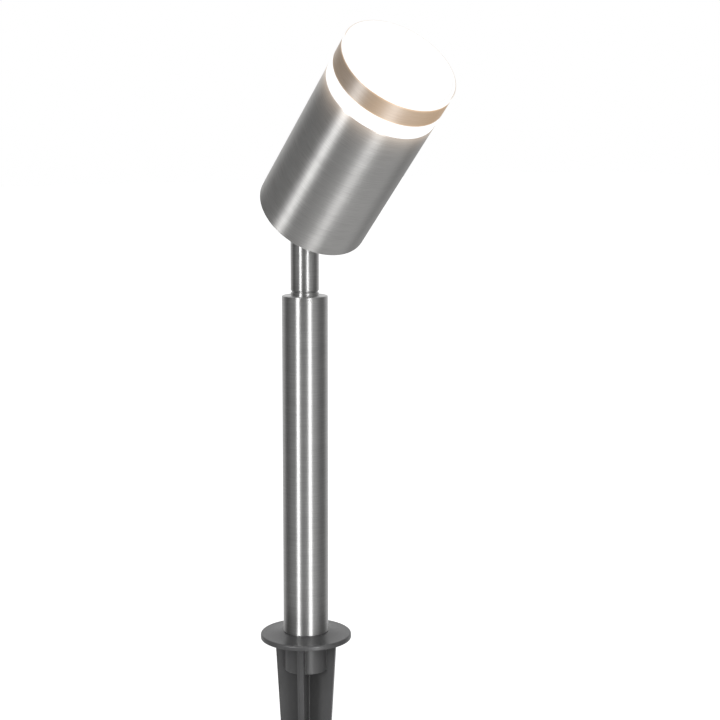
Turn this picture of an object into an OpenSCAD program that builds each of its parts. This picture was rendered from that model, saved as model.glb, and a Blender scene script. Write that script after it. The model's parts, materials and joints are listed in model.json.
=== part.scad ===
// Garden spotlight on a ground spike. A tilting steel head stands on a neck that swivels in a
// tubular pole, and the pole is pushed onto a plastic spike with four fins.
// Lengths are millimetres. +Z is up, the head aims towards -Y, and the origin is the centre of the
// spike's flange, on the underside that meets the soil.

/* [Head] */
// Outer diameter of the head tube and its trim ring
head_d = 54; // [50:0.5:64]
// Wall of the head tube and of the trim ring
head_wall = 1.5; // [1.2:0.1:2]
// Length of the head tube
head_len = 76.5; // [72:0.5:120]
// Height of the lit band between the head tube and the trim ring
band_len = 7.5; // [4:0.5:14]
// Height of the trim ring
trim_len = 9.5; // [6:0.5:16]
// Thickness of the front lens
lens_t = 2.2; // [1.6:0.1:4]
// Tilt of the head from upright
head_tilt = 45; // [0:1:90]

/* [Neck and hinge] */
// Diameter of the neck and of the hinge tongue
neck_d = 13.5; // [12.5:0.5:16]
// Gap between the neck and the head tube's rim with the head level
swing_gap = 3.25; // [2:0.25:8]
// Gap between the pole's top and the head tube with the head level
level_gap = 6; // [3:0.5:40]
// Height of the collar that the neck turns on
collar_h = 2.2; // [1.4:0.2:5]
// Diameter of the hollow hinge axle
axle_d = 5.6; // [5.2:0.1:6.4]

/* [Pole] */
// Outer diameter of the pole
pole_d = 22; // [20:0.5:30]
// Wall of the pole
pole_wall = 1.5; // [1:0.1:1.8]
// Height of the pole with its cap, above the seat on the spike
pole_len = 166; // [90:1:600]

/* [Ground spike] */
// Diameter of the flange that rests on the soil
flange_d = 44.6; // [36:0.2:80]
// Thickness of the flange at its rim
flange_t = 2.3; // [1.8:0.1:5]
// Rise of the flange from its rim to the pole's seat
flange_crown = 1.3; // [0.5:0.1:4]
// Diameter of the boss under the flange
boss_d = 21.4; // [20:0.2:27]
// Height of the boss under the flange
boss_h = 16; // [11:0.5:24]
// Reach of a fin from the axis, under the flange
fin_reach = 15.2; // [12:0.1:17]
// Thickness of a fin
fin_t = 3.2; // [2.4:0.1:4]
// Length of the spike below the flange
spike_len = 165; // [120:1:260]
// Length of the spike's point
point_len = 46; // [25:1:80]

/* [Light unit] */
// Rings of light-emitting chips round the middle one
led_rings = 2; // [1:1:2]
// Radial fins on the heat sink, between one tie screw and the next
sink_fins = 4; // [2:1:5]
// Height of the driver's capacitor, its tallest part
capacitor_h = 14; // [8:0.5:20]

/* [Hidden] */
$fn = 96;

// Clearances
fit = 0.05;             // radial gap between pieces fixed to each other
run = 0.06;             // radial gap between a shaft and the bore it turns in
rub = 0.05;             // gap between flat faces that slide on each other
cut = 1;                // overrun of a cut past the face it opens

// Pole and cap
pole_r = pole_d / 2;
pole_bore_r = pole_r - pole_wall;
seat_z = flange_t + flange_crown;
pole_top = seat_z + pole_len;
cap_t = 1;
cap_plug_h = 10;
cap_chamfer = 0.4;
cap_bottom = pole_top - cap_t - cap_plug_h;
thread_d = 10;
thread_r = thread_d / 2;
thread_nut_af = 14;
thread_nut_t = 4;
thread_end = 2;         // thread left past its nut

// Neck and hinge
neck_r = neck_d / 2;
far = 4 * neck_d;       // side of a block that cuts a whole half away
head_r = head_d / 2;
neck_foot = pole_top + collar_h;
neck_chamfer = 0.45;    // each side of the groove over the collar
hinge_z = pole_top + level_gap + head_r;
lap_t = 0.5;            // friction washer between the laps
lap_x = lap_t / 2;
flat_cut = 1.15;        // depth of the flats under the axle's head and nut
flat_x = neck_r - flat_cut;
eye_gap = 0.45;         // gap between a round eye and the shoulder it turns past
shoulder = neck_r + eye_gap;
axle_r = axle_d / 2;
axle_head_step = 1.2;
axle_head_r = axle_r + axle_head_step;
axle_head_t = 1.4;
axle_socket_af = 3;
axle_socket_h = 1.8;
axle_nut_af = 2 * axle_head_r;
axle_nut_t = 2.4;
spring_t = 0.5;
lap_washer_r = neck_r - eye_gap;
spring_r = axle_head_r;
axle_end = flat_x + spring_t + axle_nut_t;

// Leads, and the bores they run in
lead_r = 2.5;
lead_gap = 0.4;
core_r = 1.2;
core_gap = 0.3;
core_x = (lap_x + flat_x) / 2;
core_bore_r = core_r + core_gap;
core_shift = 4;         // height over which a core moves sideways into its eye
lead_strip = 3;         // core between the stripped sheath and that shift
core_turn = shoulder + core_bore_r;
core_foot = core_turn + core_shift;
lead_top = core_foot + lead_strip;

// Swivel stop
stop_pin_r = 0.6;
stop_pin_inset = 1;     // wall of the cap outside the pin
stop_r = pole_bore_r - stop_pin_inset - stop_pin_r;
stop_pin_h = 5;
stop_gap = 0.3;
tab_washer_t = 1.2;
tab_w = 1.2;
tab_washer_r = stop_r - stop_pin_r - stop_gap;
tail_bottom = cap_bottom - tab_washer_t - thread_nut_t - thread_end;

// Ground spike
flange_r = flange_d / 2;
flange_round = 0.8;
seat_ring = 1;          // flat ring round the pole's foot
dish_w = flange_r - flange_round - pole_r - seat_ring;
dish_r = (dish_w * dish_w + flange_crown * flange_crown) / 2 / flange_crown;
boss_r = boss_d / 2;
spigot_h = 18;
spigot_chamfer = 1;
outlet_z = -boss_h / 2; // height of the cable outlet
outlet_flat = 1.3;      // depth of the flat round the outlet
outlet_y = boss_r - outlet_flat;
outlet_flat_r = 5;
channel_gap = 0.7;      // room round the lead in the spike
channel_r = lead_r + channel_gap;
grommet_in = 4;
grommet_r = 3.9;
grommet_lip_r = 4.7;
grommet_lip_t = 1.2;
grommet_bore_r = 2.6;
lead_stop = 1;          // lead end behind the grommet
fin_core_r = 2.6;
fin_low_share = 0.55;   // reach left where the point begins
fin_low_reach = fin_reach * fin_low_share;
tip_r = 0.9;
grub_r = 2;
grub_len = 6;
grub_z = seat_z + spigot_h / 2;
grub_sunk = 0.3;
grub_y = pole_r - grub_sunk;
grub_socket_af = 2;
grub_socket_h = 2;

// Head, measured along its own axis from the hinge
bore_r = head_r - head_wall;
rim_w = neck_r + swing_gap;
front_w = rim_w + head_len;
band_w = front_w + band_len;
trim_w = band_w + trim_len;
lens_w = trim_w + lens_t;
lens_round = 0.5;
lens_spigot_h = 3;
lens_spigot_t = 2;
band_step = 0.2;        // lit band under the tube's surface

// Back plate and tongue
back_recess = 2;
back_t = 5;
back_w = rim_w + back_recess;
inside_w = back_w + back_t;
back_chamfer = 0.6;
back_seal_d = 2;
tongue_washer_t = 1;
tongue_washer_r = 8.5;
tongue_end = inside_w + tongue_washer_t + thread_nut_t + thread_end;

// Tie screws and spacers
tie_count = 3;
tie_inset = 6.5;
tie_r = bore_r - tie_inset;
tie_shank_r = 1.5;
tie_head_r = 2.75;
tie_head_t = 1.8;
tie_socket_af = 2.5;
tie_socket_h = 1.2;
tie_bite = 5;           // thread in the heat sink
spacer_r = 2.6;

// Diffuser
diffuser_wall = 2.3;
sleeve_len = 12;
sleeve_r = bore_r - fit;
diffuser_r = sleeve_r - diffuser_wall;
front_seal_w = front_w - sleeve_len / 2;
front_seal_d = 1.2;

// Driver
driver_space = 17;      // room behind the driver board
driver_w = inside_w + driver_space;
driver_t = 1.6;
driver_gap = 2.5;
driver_r = bore_r - driver_gap;
driver_front_w = driver_w + driver_t;
part_gap = 0.5;         // room between neighbouring parts on the board
terminal_w = 9;
terminal_h = 7;
choke_r = 5.5;
choke_h = 9;
choke_bore_r = 2.4;
choke_x = 9;
choke_y = choke_r + part_gap;
capacitor_r = 4;
capacitor_x = -11;
capacitor_y = capacitor_r;
chip_w = 5;
chip_l = 4;
chip_h = 1.4;
chip_count = 3;
chip_pitch = 6.5;
chip_y = -9;

// Heat sink and light board
sink_top_w = front_w - sleeve_len - fit;
sink_base_t = 6;
sink_base_w = sink_top_w - sink_base_t;
sink_core_r = 9;
sink_fin_t = 1.6;
sink_fin_gap = 1.5;
sink_fin_r = bore_r - sink_fin_gap;
sink_fin_gap_w = 4;     // room between the driver's tallest part and the fins
sink_fin_w = driver_front_w + capacitor_h + sink_fin_gap_w;
sink_core_proud = 1;    // core behind the ends of the fins
sink_core_w = sink_fin_w - sink_core_proud;
sink_root = 2;          // depth to which a fin runs into the core and the base
table_gap = 0.6;
table_r = diffuser_r - table_gap;
board_t = 1.6;
board_sunk = 3;         // light board behind the lit band
board_w = front_w - board_sunk;
board_top_w = board_w + board_t;
board_edge = 0.4;
board_r = table_r - board_edge;
led_side = 3;
led_h = 0.8;
led_pitch = 7.6;        // radius of the first ring, and step to the next
led_per_ring = 6;
led_screw_at = 1.5 * led_pitch;
led_screw_r = 1.1;
led_screw_head_r = 2;
led_screw_head_t = 1.3;
led_screw_len = 6;
wire_r = 0.7;
wire_x = 4.4;
wire_end = 0.4;         // wire soldered proud of the board
wire_gap = 0.3;

// Colours
brushed_steel = [0.72, 0.71, 0.69];
bright_steel = [0.80, 0.80, 0.80];
cast_aluminium = [0.66, 0.67, 0.68];
black_plastic = [0.17, 0.17, 0.17];
black_rubber = [0.06, 0.06, 0.06];
grey_rubber = [0.32, 0.32, 0.33];
lit_opal = [1.0, 0.97, 0.90];
nylon = [0.86, 0.85, 0.80];
board_green = [0.10, 0.32, 0.20];
board_white = [0.93, 0.93, 0.91];
copper = [0.72, 0.43, 0.24];
cable_black = [0.09, 0.09, 0.10];

// Corner radius of a hexagon or square with this distance across its flats
function corner_r(across, sides) = across / 2 / cos(180 / sides);

// Ring from z = 0 up to h
module ring(outer_r, inner_r, h) {
    difference() {
        cylinder(r = outer_r, h = h);
        translate([0, 0, -cut])
            cylinder(r = inner_r, h = h + 2 * cut);
    }
}

// Cylinder between two heights
module post(r, low, high) {
    translate([0, 0, low])
        cylinder(r = r, h = high - low);
}

// Round bar from z = 0 up to h, with both edges broken where asked
module bar(r, h, low_chamfer = 0, high_chamfer = 0) {
    rotate_extrude()
        polygon([[0, 0], [r - low_chamfer, 0], [r, low_chamfer],
                 [r, h - high_chamfer], [r - high_chamfer, h], [0, h]]);
}

module hexagon(across, h) {
    cylinder(r = corner_r(across, 6), h = h, $fn = 6);
}

// Sealing ring of a round cord, whose outer side lies at outer_r
module seal_ring(outer_r, cord_d) {
    rotate_extrude()
        translate([outer_r - cord_d / 2, 0])
            circle(r = cord_d / 2);
}

// Groove that holds a seal ring in an outer face at outer_r
module seal_groove(outer_r, cord_d) {
    translate([0, 0, -cord_d / 2 - fit])
        ring(outer_r + cut, outer_r - cord_d - fit, cord_d + 2 * fit);
}

// Places a child in the head's frame: hinge at the origin, head axis up
module on_head() {
    translate([0, 0, hinge_z])
        rotate([head_tilt, 0, 0])
            children();
}

// Places a child in the hinge's upright frame
module on_hinge() {
    translate([0, 0, hinge_z])
        children();
}

// Turns a child that stands along +Z to lie along +X
module along_x() {
    rotate([0, 90, 0])
        children();
}

module at_tie_angles() {
    for (i = [0 : tie_count - 1])
        rotate([0, 0, 90 + i * 360 / tie_count])
            children();
}

module at_ties() {
    at_tie_angles()
        translate([tie_r, 0, 0])
            children();
}

// Ground spike

module fin_outline() {
    polygon([[-fin_reach, 0], [-fin_low_reach, point_len - spike_len], [-tip_r, tip_r - spike_len],
             [0, -spike_len], [tip_r, tip_r - spike_len], [fin_low_reach, point_len - spike_len],
             [fin_reach, 0]]);
}

module spike_fins() {
    for (turn = [45, 135])
        rotate([90, 0, turn])
            translate([0, 0, -fin_t / 2])
                linear_extrude(fin_t)
                    fin_outline();
    post(fin_core_r, point_len - spike_len, 0);
    translate([0, 0, tip_r - spike_len])
        cylinder(r1 = tip_r, r2 = fin_core_r, h = point_len - tip_r);
}

// Flange with a rounded upper rim, and a hollow sweep from the rim up to the pole's seat
module flange() {
    rotate_extrude() {
        difference() {
            square([flange_r - flange_round, seat_z]);
            translate([flange_r - flange_round, flange_t + dish_r])
                circle(r = dish_r);
        }
        square([flange_r, flange_t - flange_round]);
        translate([flange_r - flange_round, flange_t - flange_round])
            intersection() {
                circle(r = flange_round);
                square(flange_round);
            }
    }
}

module ground_spike() {
    color(black_plastic)
    difference() {
        union() {
            flange();
            spike_fins();
            post(boss_r, -boss_h, 0);
            translate([0, 0, seat_z])
                bar(pole_bore_r - fit, spigot_h, 0, spigot_chamfer);
        }
        // way for the lead, up through the spigot and out at the back
        post(channel_r, outlet_z, seat_z + spigot_h + cut);
        translate([0, 0, outlet_z]) {
            sphere(r = channel_r);
            rotate([-90, 0, 0]) {
                post(channel_r, 0, boss_r + cut);
                post(grommet_r + fit, outlet_y - grommet_in, boss_r + cut);
                post(outlet_flat_r, outlet_y, fin_reach + cut);
            }
        }
        // thread of the grub screw
        translate([0, 0, grub_z])
            rotate([-90, 0, 0])
                post(grub_r + fit, grub_y - grub_len - fit, pole_r);
    }
}

module cable_grommet() {
    color(grey_rubber)
    translate([0, outlet_y, outlet_z])
        rotate([-90, 0, 0])
            difference() {
                union() {
                    post(grommet_r, -grommet_in, 0);
                    bar(grommet_lip_r, grommet_lip_t, 0, grommet_lip_t / 3);
                }
                post(grommet_bore_r, -grommet_in - cut, grommet_lip_t + cut);
            }
}

// Pole

module pole_tube() {
    color(brushed_steel)
    difference() {
        translate([0, 0, seat_z])
            ring(pole_r, pole_bore_r, pole_len - cap_t);
        translate([0, 0, grub_z])
            rotate([-90, 0, 0])
                post(grub_r + fit, pole_bore_r / 2, pole_r + cut);
    }
}

module pole_grub_screw() {
    color(bright_steel)
    translate([0, 0, grub_z])
        rotate([-90, 0, 0])
            difference() {
                post(grub_r, grub_y - grub_len, grub_y);
                translate([0, 0, grub_y - grub_socket_h])
                    hexagon(grub_socket_af, grub_socket_h + cut);
            }
}

module pole_cap() {
    color(brushed_steel)
    difference() {
        union() {
            post(pole_bore_r - fit, cap_bottom, pole_top - cap_t);
            translate([0, 0, pole_top - cap_t])
                bar(pole_r, cap_t, 0, cap_chamfer);
            translate([0, 0, pole_top])
                bar(neck_r, collar_h, 0, neck_chamfer);
        }
        post(thread_r + run, cap_bottom - cut, neck_foot + cut);
        translate([0, stop_r, 0])
            post(stop_pin_r + fit, cap_bottom - cut, cap_bottom + stop_pin_h);
    }
}

module swivel_stop_pin() {
    color(bright_steel)
    translate([0, stop_r, 0])
        post(stop_pin_r, cap_bottom - tab_washer_t + rub, cap_bottom + stop_pin_h);
}

module pole_lead() {
    color(cable_black) {
        post(lead_r, outlet_z, tail_bottom - rub);
        translate([0, 0, outlet_z]) {
            sphere(r = lead_r);
            rotate([-90, 0, 0])
                post(lead_r, 0, outlet_y - grommet_in - lead_stop);
        }
    }
}

// Neck and hinge

// Round end of a half lap: the side at -X of a bar that ends in an eye, in the hinge's frame.
// The bar comes up from the given height.
module lap_half(foot) {
    intersection() {
        union() {
            post(neck_r, foot, 0);
            along_x()
                translate([0, 0, -neck_r])
                    cylinder(r = neck_r, h = neck_d);
        }
        post(neck_r, foot, neck_r);
        translate([-flat_x, -far / 2, -far / 2])
            cube([flat_x - lap_x - rub, far, far]);
    }
}

// Bores of an eye: for the axle, and for the core that comes up to it
module eye_bores(axle_bore_r) {
    along_x()
        translate([0, 0, -neck_d])
            cylinder(r = axle_bore_r, h = 2 * neck_d);
    translate([-core_x, 0, 0])
        post(core_bore_r, -core_foot, 0);
}

module neck_stem() {
    color(brushed_steel)
    difference() {
        union() {
            post(thread_r, tail_bottom, neck_foot + neck_chamfer);
            translate([0, 0, neck_foot + rub])
                bar(neck_r, hinge_z - shoulder - neck_foot - rub, neck_chamfer, 0);
            on_hinge()
                lap_half(-shoulder - cut);
        }
        post(lead_r + lead_gap, tail_bottom - cut, hinge_z - core_turn);
        on_hinge()
            eye_bores(axle_r + fit);
    }
}

// Washer with a tab that meets the stop pin at each end of the swivel
module neck_tab_washer() {
    color(bright_steel)
    translate([0, 0, cap_bottom - tab_washer_t - rub])
        difference() {
            union() {
                cylinder(r = tab_washer_r, h = tab_washer_t);
                translate([-tab_w / 2, -stop_r - stop_pin_r, 0])
                    cube([tab_w, stop_r + stop_pin_r, tab_washer_t]);
            }
            translate([0, 0, -cut])
                cylinder(r = thread_r + fit, h = tab_washer_t + 2 * cut);
        }
}

module neck_lock_nut() {
    color(bright_steel)
    translate([0, 0, cap_bottom - tab_washer_t - rub - thread_nut_t])
        difference() {
            hexagon(thread_nut_af, thread_nut_t);
            translate([0, 0, -cut])
                cylinder(r = thread_r + fit, h = thread_nut_t + 2 * cut);
        }
}

// Round core along a list of points
module core_run(points) {
    for (i = [0 : len(points) - 2]) {
        step = points[i + 1] - points[i];
        reach = norm(step);
        translate(points[i])
            rotate([0, acos(step[2] / reach), atan2(step[1], step[0])])
                cylinder(r = core_r, h = reach);
    }
    for (i = [1 : len(points) - 2])
        translate(points[i])
            sphere(r = core_r);
}

// Core that comes up on the bar's axis, moves into its eye and turns along the axle
module eye_core(foot) {
    core_run([[0, 0, foot], [0, 0, -core_foot], [-core_x, 0, -core_turn - core_gap],
              [-core_x, 0, 0], [-rub / 2, 0, 0]]);
}

module neck_lead() {
    color(cable_black) {
        post(lead_r, tail_bottom, hinge_z - lead_top);
        on_hinge()
            eye_core(-lead_top);
    }
}

module hinge_axle() {
    color(bright_steel)
    on_hinge()
        along_x()
            difference() {
                union() {
                    translate([0, 0, -flat_x - axle_head_t])
                        bar(axle_head_r, axle_head_t, axle_head_t / 3, 0);
                    post(axle_r, -flat_x, axle_end);
                }
                translate([0, 0, -flat_x - axle_head_t - cut])
                    hexagon(axle_socket_af, axle_socket_h + cut);
                post(core_bore_r, -core_x - core_bore_r, core_x + core_bore_r);
                // window for the neck's core, below the axis
                translate([0, 0, -core_x])
                    along_x()
                        cylinder(r = core_bore_r, h = 2 * axle_r);
                // slot that the head's core sweeps, above the axis
                translate([-far, -far / 2, core_x - core_bore_r])
                    cube([far + core_bore_r, far, 2 * core_bore_r]);
            }
}

module hinge_friction_washer() {
    color(nylon)
    on_hinge()
        along_x()
            translate([0, 0, -lap_x])
                ring(lap_washer_r, axle_r + fit, lap_t);
}

module hinge_spring_washer() {
    color(bright_steel)
    on_hinge()
        along_x()
            translate([0, 0, flat_x + rub])
                ring(spring_r, axle_r + fit, spring_t - rub);
}

module hinge_nut() {
    color(bright_steel)
    on_hinge()
        along_x()
            translate([0, 0, flat_x + spring_t])
                difference() {
                    hexagon(axle_nut_af, axle_nut_t);
                    translate([0, 0, -cut])
                        cylinder(r = axle_r + fit, h = axle_nut_t + 2 * cut);
                }
}

// Head: pieces that carry it

// The tongue hangs from the back plate, so its lap is the neck's lap turned over
module hinge_tongue() {
    color(brushed_steel)
    on_head()
        difference() {
            union() {
                rotate([0, 180, 0])
                    lap_half(-shoulder - cut);
                post(neck_r, shoulder, back_w);
                post(thread_r, back_w, tongue_end);
            }
            rotate([0, 180, 0])
                eye_bores(axle_r + run);
            post(lead_r + lead_gap, core_turn, tongue_end + cut);
        }
}

module tongue_washer() {
    color(bright_steel)
    on_head()
        translate([0, 0, inside_w])
            ring(tongue_washer_r, thread_r + fit, tongue_washer_t);
}

module tongue_nut() {
    color(bright_steel)
    on_head()
        translate([0, 0, inside_w + tongue_washer_t])
            difference() {
                hexagon(thread_nut_af, thread_nut_t);
                translate([0, 0, -cut])
                    cylinder(r = thread_r + fit, h = thread_nut_t + 2 * cut);
            }
}

module back_plate() {
    color(brushed_steel)
    on_head()
        difference() {
            translate([0, 0, back_w])
                bar(bore_r - fit, back_t, back_chamfer, 0);
            post(thread_r + fit, back_w - cut, inside_w + cut);
            translate([0, 0, back_w + back_t / 2])
                seal_groove(bore_r - fit, back_seal_d);
            at_ties() {
                post(tie_shank_r + fit, back_w - cut, inside_w + cut);
                post(tie_head_r + fit, back_w - cut, back_w + tie_head_t);
            }
        }
}

module back_seal() {
    color(black_rubber)
    on_head()
        translate([0, 0, back_w + back_t / 2])
            seal_ring(bore_r - fit, back_seal_d);
}

// Long screws from the back plate through the driver board into the heat sink
module tie_screws() {
    color(bright_steel)
    on_head()
        at_ties()
            difference() {
                union() {
                    post(tie_shank_r, back_w, sink_base_w + tie_bite);
                    post(tie_head_r, back_w, back_w + tie_head_t);
                }
                translate([0, 0, back_w - cut])
                    hexagon(tie_socket_af, tie_socket_h + cut);
            }
}

module tie_spacers(low, high) {
    on_head()
        at_ties()
            translate([0, 0, low])
                ring(spacer_r, tie_shank_r + fit, high - low);
}

module rear_spacers() {
    color(nylon)
    tie_spacers(inside_w, driver_w);
}

module front_spacers() {
    color(nylon)
    tie_spacers(driver_front_w, sink_base_w);
}

// Head: driver

module driver_board() {
    color(board_green)
    on_head()
        difference() {
            post(driver_r, driver_w, driver_front_w);
            at_ties()
                post(tie_shank_r + fit, driver_w - cut, driver_front_w + cut);
        }
}

// Terminal on the board's rear face, where the lead comes in
module driver_terminal() {
    color(board_white)
    on_head()
        translate([-terminal_w / 2, -terminal_h / 2, driver_w - terminal_h])
            cube([terminal_w, terminal_h, terminal_h]);
}

module driver_choke() {
    color(copper)
    on_head()
        translate([choke_x, choke_y, driver_front_w])
            ring(choke_r, choke_bore_r, choke_h);
}

module driver_capacitor() {
    color(black_plastic)
    on_head()
        translate([capacitor_x, capacitor_y, driver_front_w])
            cylinder(r = capacitor_r, h = capacitor_h);
}

module driver_chips() {
    color(black_plastic)
    on_head()
        for (i = [0 : chip_count - 1])
            translate([(i - (chip_count - 1) / 2) * chip_pitch - chip_w / 2, chip_y - chip_l / 2,
                       driver_front_w])
                cube([chip_w, chip_l, chip_h]);
}

module head_lead() {
    color(cable_black)
    on_head() {
        rotate([0, 180, 0])
            eye_core(-lead_top);
        post(lead_r, lead_top, driver_w - terminal_h);
    }
}

// Head: light unit

module at_wires() {
    for (side = [-1, 1])
        translate([side * wire_x, 0, 0])
            children();
}

module at_led_screws() {
    for (side = [-1, 1])
        translate([0, side * led_screw_at, 0])
            children();
}

module heat_sink() {
    color(cast_aluminium)
    on_head()
        difference() {
            union() {
                post(bore_r - fit, sink_base_w, sink_top_w);
                post(table_r, sink_top_w, board_w);
                post(sink_core_r, sink_core_w, sink_base_w + sink_root);
                at_tie_angles()
                    for (i = [0 : sink_fins - 1])
                        rotate([0, 0, (i + 0.5) * 360 / tie_count / sink_fins])
                            translate([sink_core_r - sink_root, -sink_fin_t / 2, sink_fin_w])
                                cube([sink_fin_r - sink_core_r + sink_root, sink_fin_t,
                                      sink_base_w - sink_fin_w + sink_root]);
            }
            at_ties()
                post(tie_shank_r + fit, sink_base_w - cut, sink_base_w + tie_bite + fit);
            at_wires()
                post(wire_r + wire_gap, sink_core_w - cut, board_w + cut);
            at_led_screws()
                post(led_screw_r + fit, board_top_w - led_screw_len, board_w + cut);
        }
}

module led_board() {
    color(board_white)
    on_head()
        difference() {
            post(board_r, board_w, board_top_w);
            at_wires()
                post(wire_r + wire_gap, board_w - cut, board_top_w + cut);
            at_led_screws()
                post(led_screw_r + fit, board_w - cut, board_top_w + cut);
        }
}

module led_chips() {
    color([1.0, 0.85, 0.35])
    on_head()
        for (at_ring = [0 : led_rings])
            for (i = [0 : max(1, at_ring * led_per_ring) - 1])
                rotate([0, 0, i * 360 / max(1, at_ring * led_per_ring)])
                    translate([at_ring * led_pitch - led_side / 2, -led_side / 2, board_top_w])
                        cube([led_side, led_side, led_h]);
}

module led_screws() {
    color(bright_steel)
    on_head()
        at_led_screws() {
            post(led_screw_r, board_top_w - led_screw_len, board_top_w);
            translate([0, 0, board_top_w])
                bar(led_screw_head_r, led_screw_head_t, 0, led_screw_head_t / 3);
        }
}

module led_wires() {
    color(cable_black)
    on_head()
        at_wires()
            post(wire_r, driver_front_w, board_top_w + wire_end);
}

// Head: housing and optics

module head_tube() {
    color(brushed_steel)
    on_head()
        translate([0, 0, rim_w])
            ring(head_r, bore_r, head_len);
}

module front_seal() {
    color(black_rubber)
    on_head()
        translate([0, 0, front_seal_w])
            seal_ring(sleeve_r, front_seal_d);
}

// One opal moulding: a sleeve in the tube, the lit band, and the seat of the trim ring
module side_diffuser() {
    color(lit_opal)
    on_head()
        difference() {
            union() {
                post(sleeve_r, front_w - sleeve_len, front_w);
                post(head_r - band_step, front_w, band_w);
                post(sleeve_r, band_w, trim_w);
            }
            post(diffuser_r, front_w - sleeve_len - cut, trim_w + cut);
            translate([0, 0, front_seal_w])
                seal_groove(sleeve_r, front_seal_d);
        }
}

module trim_ring() {
    color(brushed_steel)
    on_head()
        translate([0, 0, band_w])
            ring(head_r, bore_r, trim_len);
}

module front_lens() {
    color(lit_opal)
    on_head() {
        translate([0, 0, trim_w])
            bar(head_r, lens_t, 0, lens_round);
        translate([0, 0, trim_w - lens_spigot_h])
            ring(diffuser_r - fit, diffuser_r - fit - lens_spigot_t, lens_spigot_h);
    }
}

ground_spike();
cable_grommet();
pole_tube();
pole_grub_screw();
pole_cap();
swivel_stop_pin();
pole_lead();
neck_stem();
neck_tab_washer();
neck_lock_nut();
neck_lead();
hinge_axle();
hinge_friction_washer();
hinge_spring_washer();
hinge_nut();
hinge_tongue();
tongue_washer();
tongue_nut();
back_plate();
back_seal();
tie_screws();
rear_spacers();
front_spacers();
driver_board();
driver_terminal();
driver_choke();
driver_capacitor();
driver_chips();
heat_sink();
led_board();
led_chips();
led_screws();
led_wires();
head_lead();
head_tube();
front_seal();
side_diffuser();
trim_ring();
front_lens();
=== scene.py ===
"""Garden spotlight on a ground spike: its pieces, their finishes and the studio."""

import json
import math

import bmesh
import bpy
from bpy.props import FloatProperty, FloatVectorProperty, IntProperty, PointerProperty
from bpy.types import Operator, Panel, PropertyGroup
from mathutils import Matrix, Vector


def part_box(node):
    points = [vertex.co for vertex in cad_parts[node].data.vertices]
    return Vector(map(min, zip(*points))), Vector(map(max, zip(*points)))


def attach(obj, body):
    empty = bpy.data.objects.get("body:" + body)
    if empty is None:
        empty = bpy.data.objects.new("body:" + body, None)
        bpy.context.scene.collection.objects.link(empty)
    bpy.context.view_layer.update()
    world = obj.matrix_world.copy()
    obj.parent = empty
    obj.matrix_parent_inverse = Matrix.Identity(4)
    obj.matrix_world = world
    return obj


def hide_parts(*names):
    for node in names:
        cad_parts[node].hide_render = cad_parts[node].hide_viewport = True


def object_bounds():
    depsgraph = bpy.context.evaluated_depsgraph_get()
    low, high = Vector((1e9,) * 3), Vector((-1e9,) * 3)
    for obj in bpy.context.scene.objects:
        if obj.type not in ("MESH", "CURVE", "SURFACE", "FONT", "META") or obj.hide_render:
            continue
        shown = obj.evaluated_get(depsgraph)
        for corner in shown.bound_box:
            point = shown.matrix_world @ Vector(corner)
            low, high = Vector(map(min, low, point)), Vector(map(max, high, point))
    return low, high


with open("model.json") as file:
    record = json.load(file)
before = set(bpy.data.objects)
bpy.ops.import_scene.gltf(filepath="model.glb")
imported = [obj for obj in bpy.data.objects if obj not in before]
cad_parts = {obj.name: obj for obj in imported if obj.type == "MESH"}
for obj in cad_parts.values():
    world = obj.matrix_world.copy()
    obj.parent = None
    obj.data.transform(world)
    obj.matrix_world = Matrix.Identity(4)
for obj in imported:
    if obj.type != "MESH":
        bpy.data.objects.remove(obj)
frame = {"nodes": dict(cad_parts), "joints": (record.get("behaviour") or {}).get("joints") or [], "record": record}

bl_info = {
    "name": "Garden Spotlight",
    "version": (1, 0, 0),
    "blender": (4, 5, 0),
    "location": "3D View > Sidebar > Spotlight",
    "description": "Builds the finished pieces of a tilting garden spotlight round its frame",
    "category": "Object",
}

MM = 0.001
CAD_LOW, CAD_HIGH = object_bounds()
JOINTS = {joint["name"]: joint for joint in frame["joints"]}
SLOTS = {part["node"]: part["material_slot"] for part in frame["record"]["subparts"]}

# Sizes of the turned pieces that their outer faces don't give
FIT = 0.05 * MM             # gap between pieces that are fixed to each other
POLE_WALL = 1.5 * MM
CAP_PLATE = 1.0 * MM        # thickness of the cap over the pole's end
LENS_WALL = 2.0 * MM        # wall of the lens's spigot
GROOVE_SHARE = 0.93         # radius of the lens's groove as a share of the lens's

# Sides of the head, in its own frame, and the places along them, as shares of the radius,
# between which the trim ring's painted glow grows and the lens's painted edge shade grows
RING_BRIGHT_SIDE = Vector((0.89, -0.45, 0.0))
RING_BRIGHT_REACH = (-0.8, -0.2)
LENS_FAR_SIDE = Vector((0.71, 0.7, 0.0))
LENS_FAR_REACH = (-0.3, 0.0)


# Places

def head_frame():
    """The head's own frame: the hinge at its origin, and Z along the head towards the lit face."""
    hinge = Vector(JOINTS["head_tilt"]["pos_m"])
    low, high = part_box("head_tube")
    along = ((low + high) / 2 - hinge).normalized()
    side = Vector(JOINTS["head_tilt"]["axis"]).normalized()
    turned = Matrix((side, along.cross(side), along)).transposed().to_4x4()
    turned.translation = hinge
    return turned


HEAD = head_frame()
UPRIGHT = Matrix.Identity(4)


def extent(node, place):
    """Lowest and highest point and least and greatest radius of a node about a frame's Z axis."""
    inverse = place.inverted()
    points = [inverse @ vertex.co for vertex in frame["nodes"][node].data.vertices]
    heights = [point.z for point in points]
    radii = [math.hypot(point.x, point.y) for point in points]
    return min(heights), max(heights), min(radii), max(radii)


# Shapes

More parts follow.
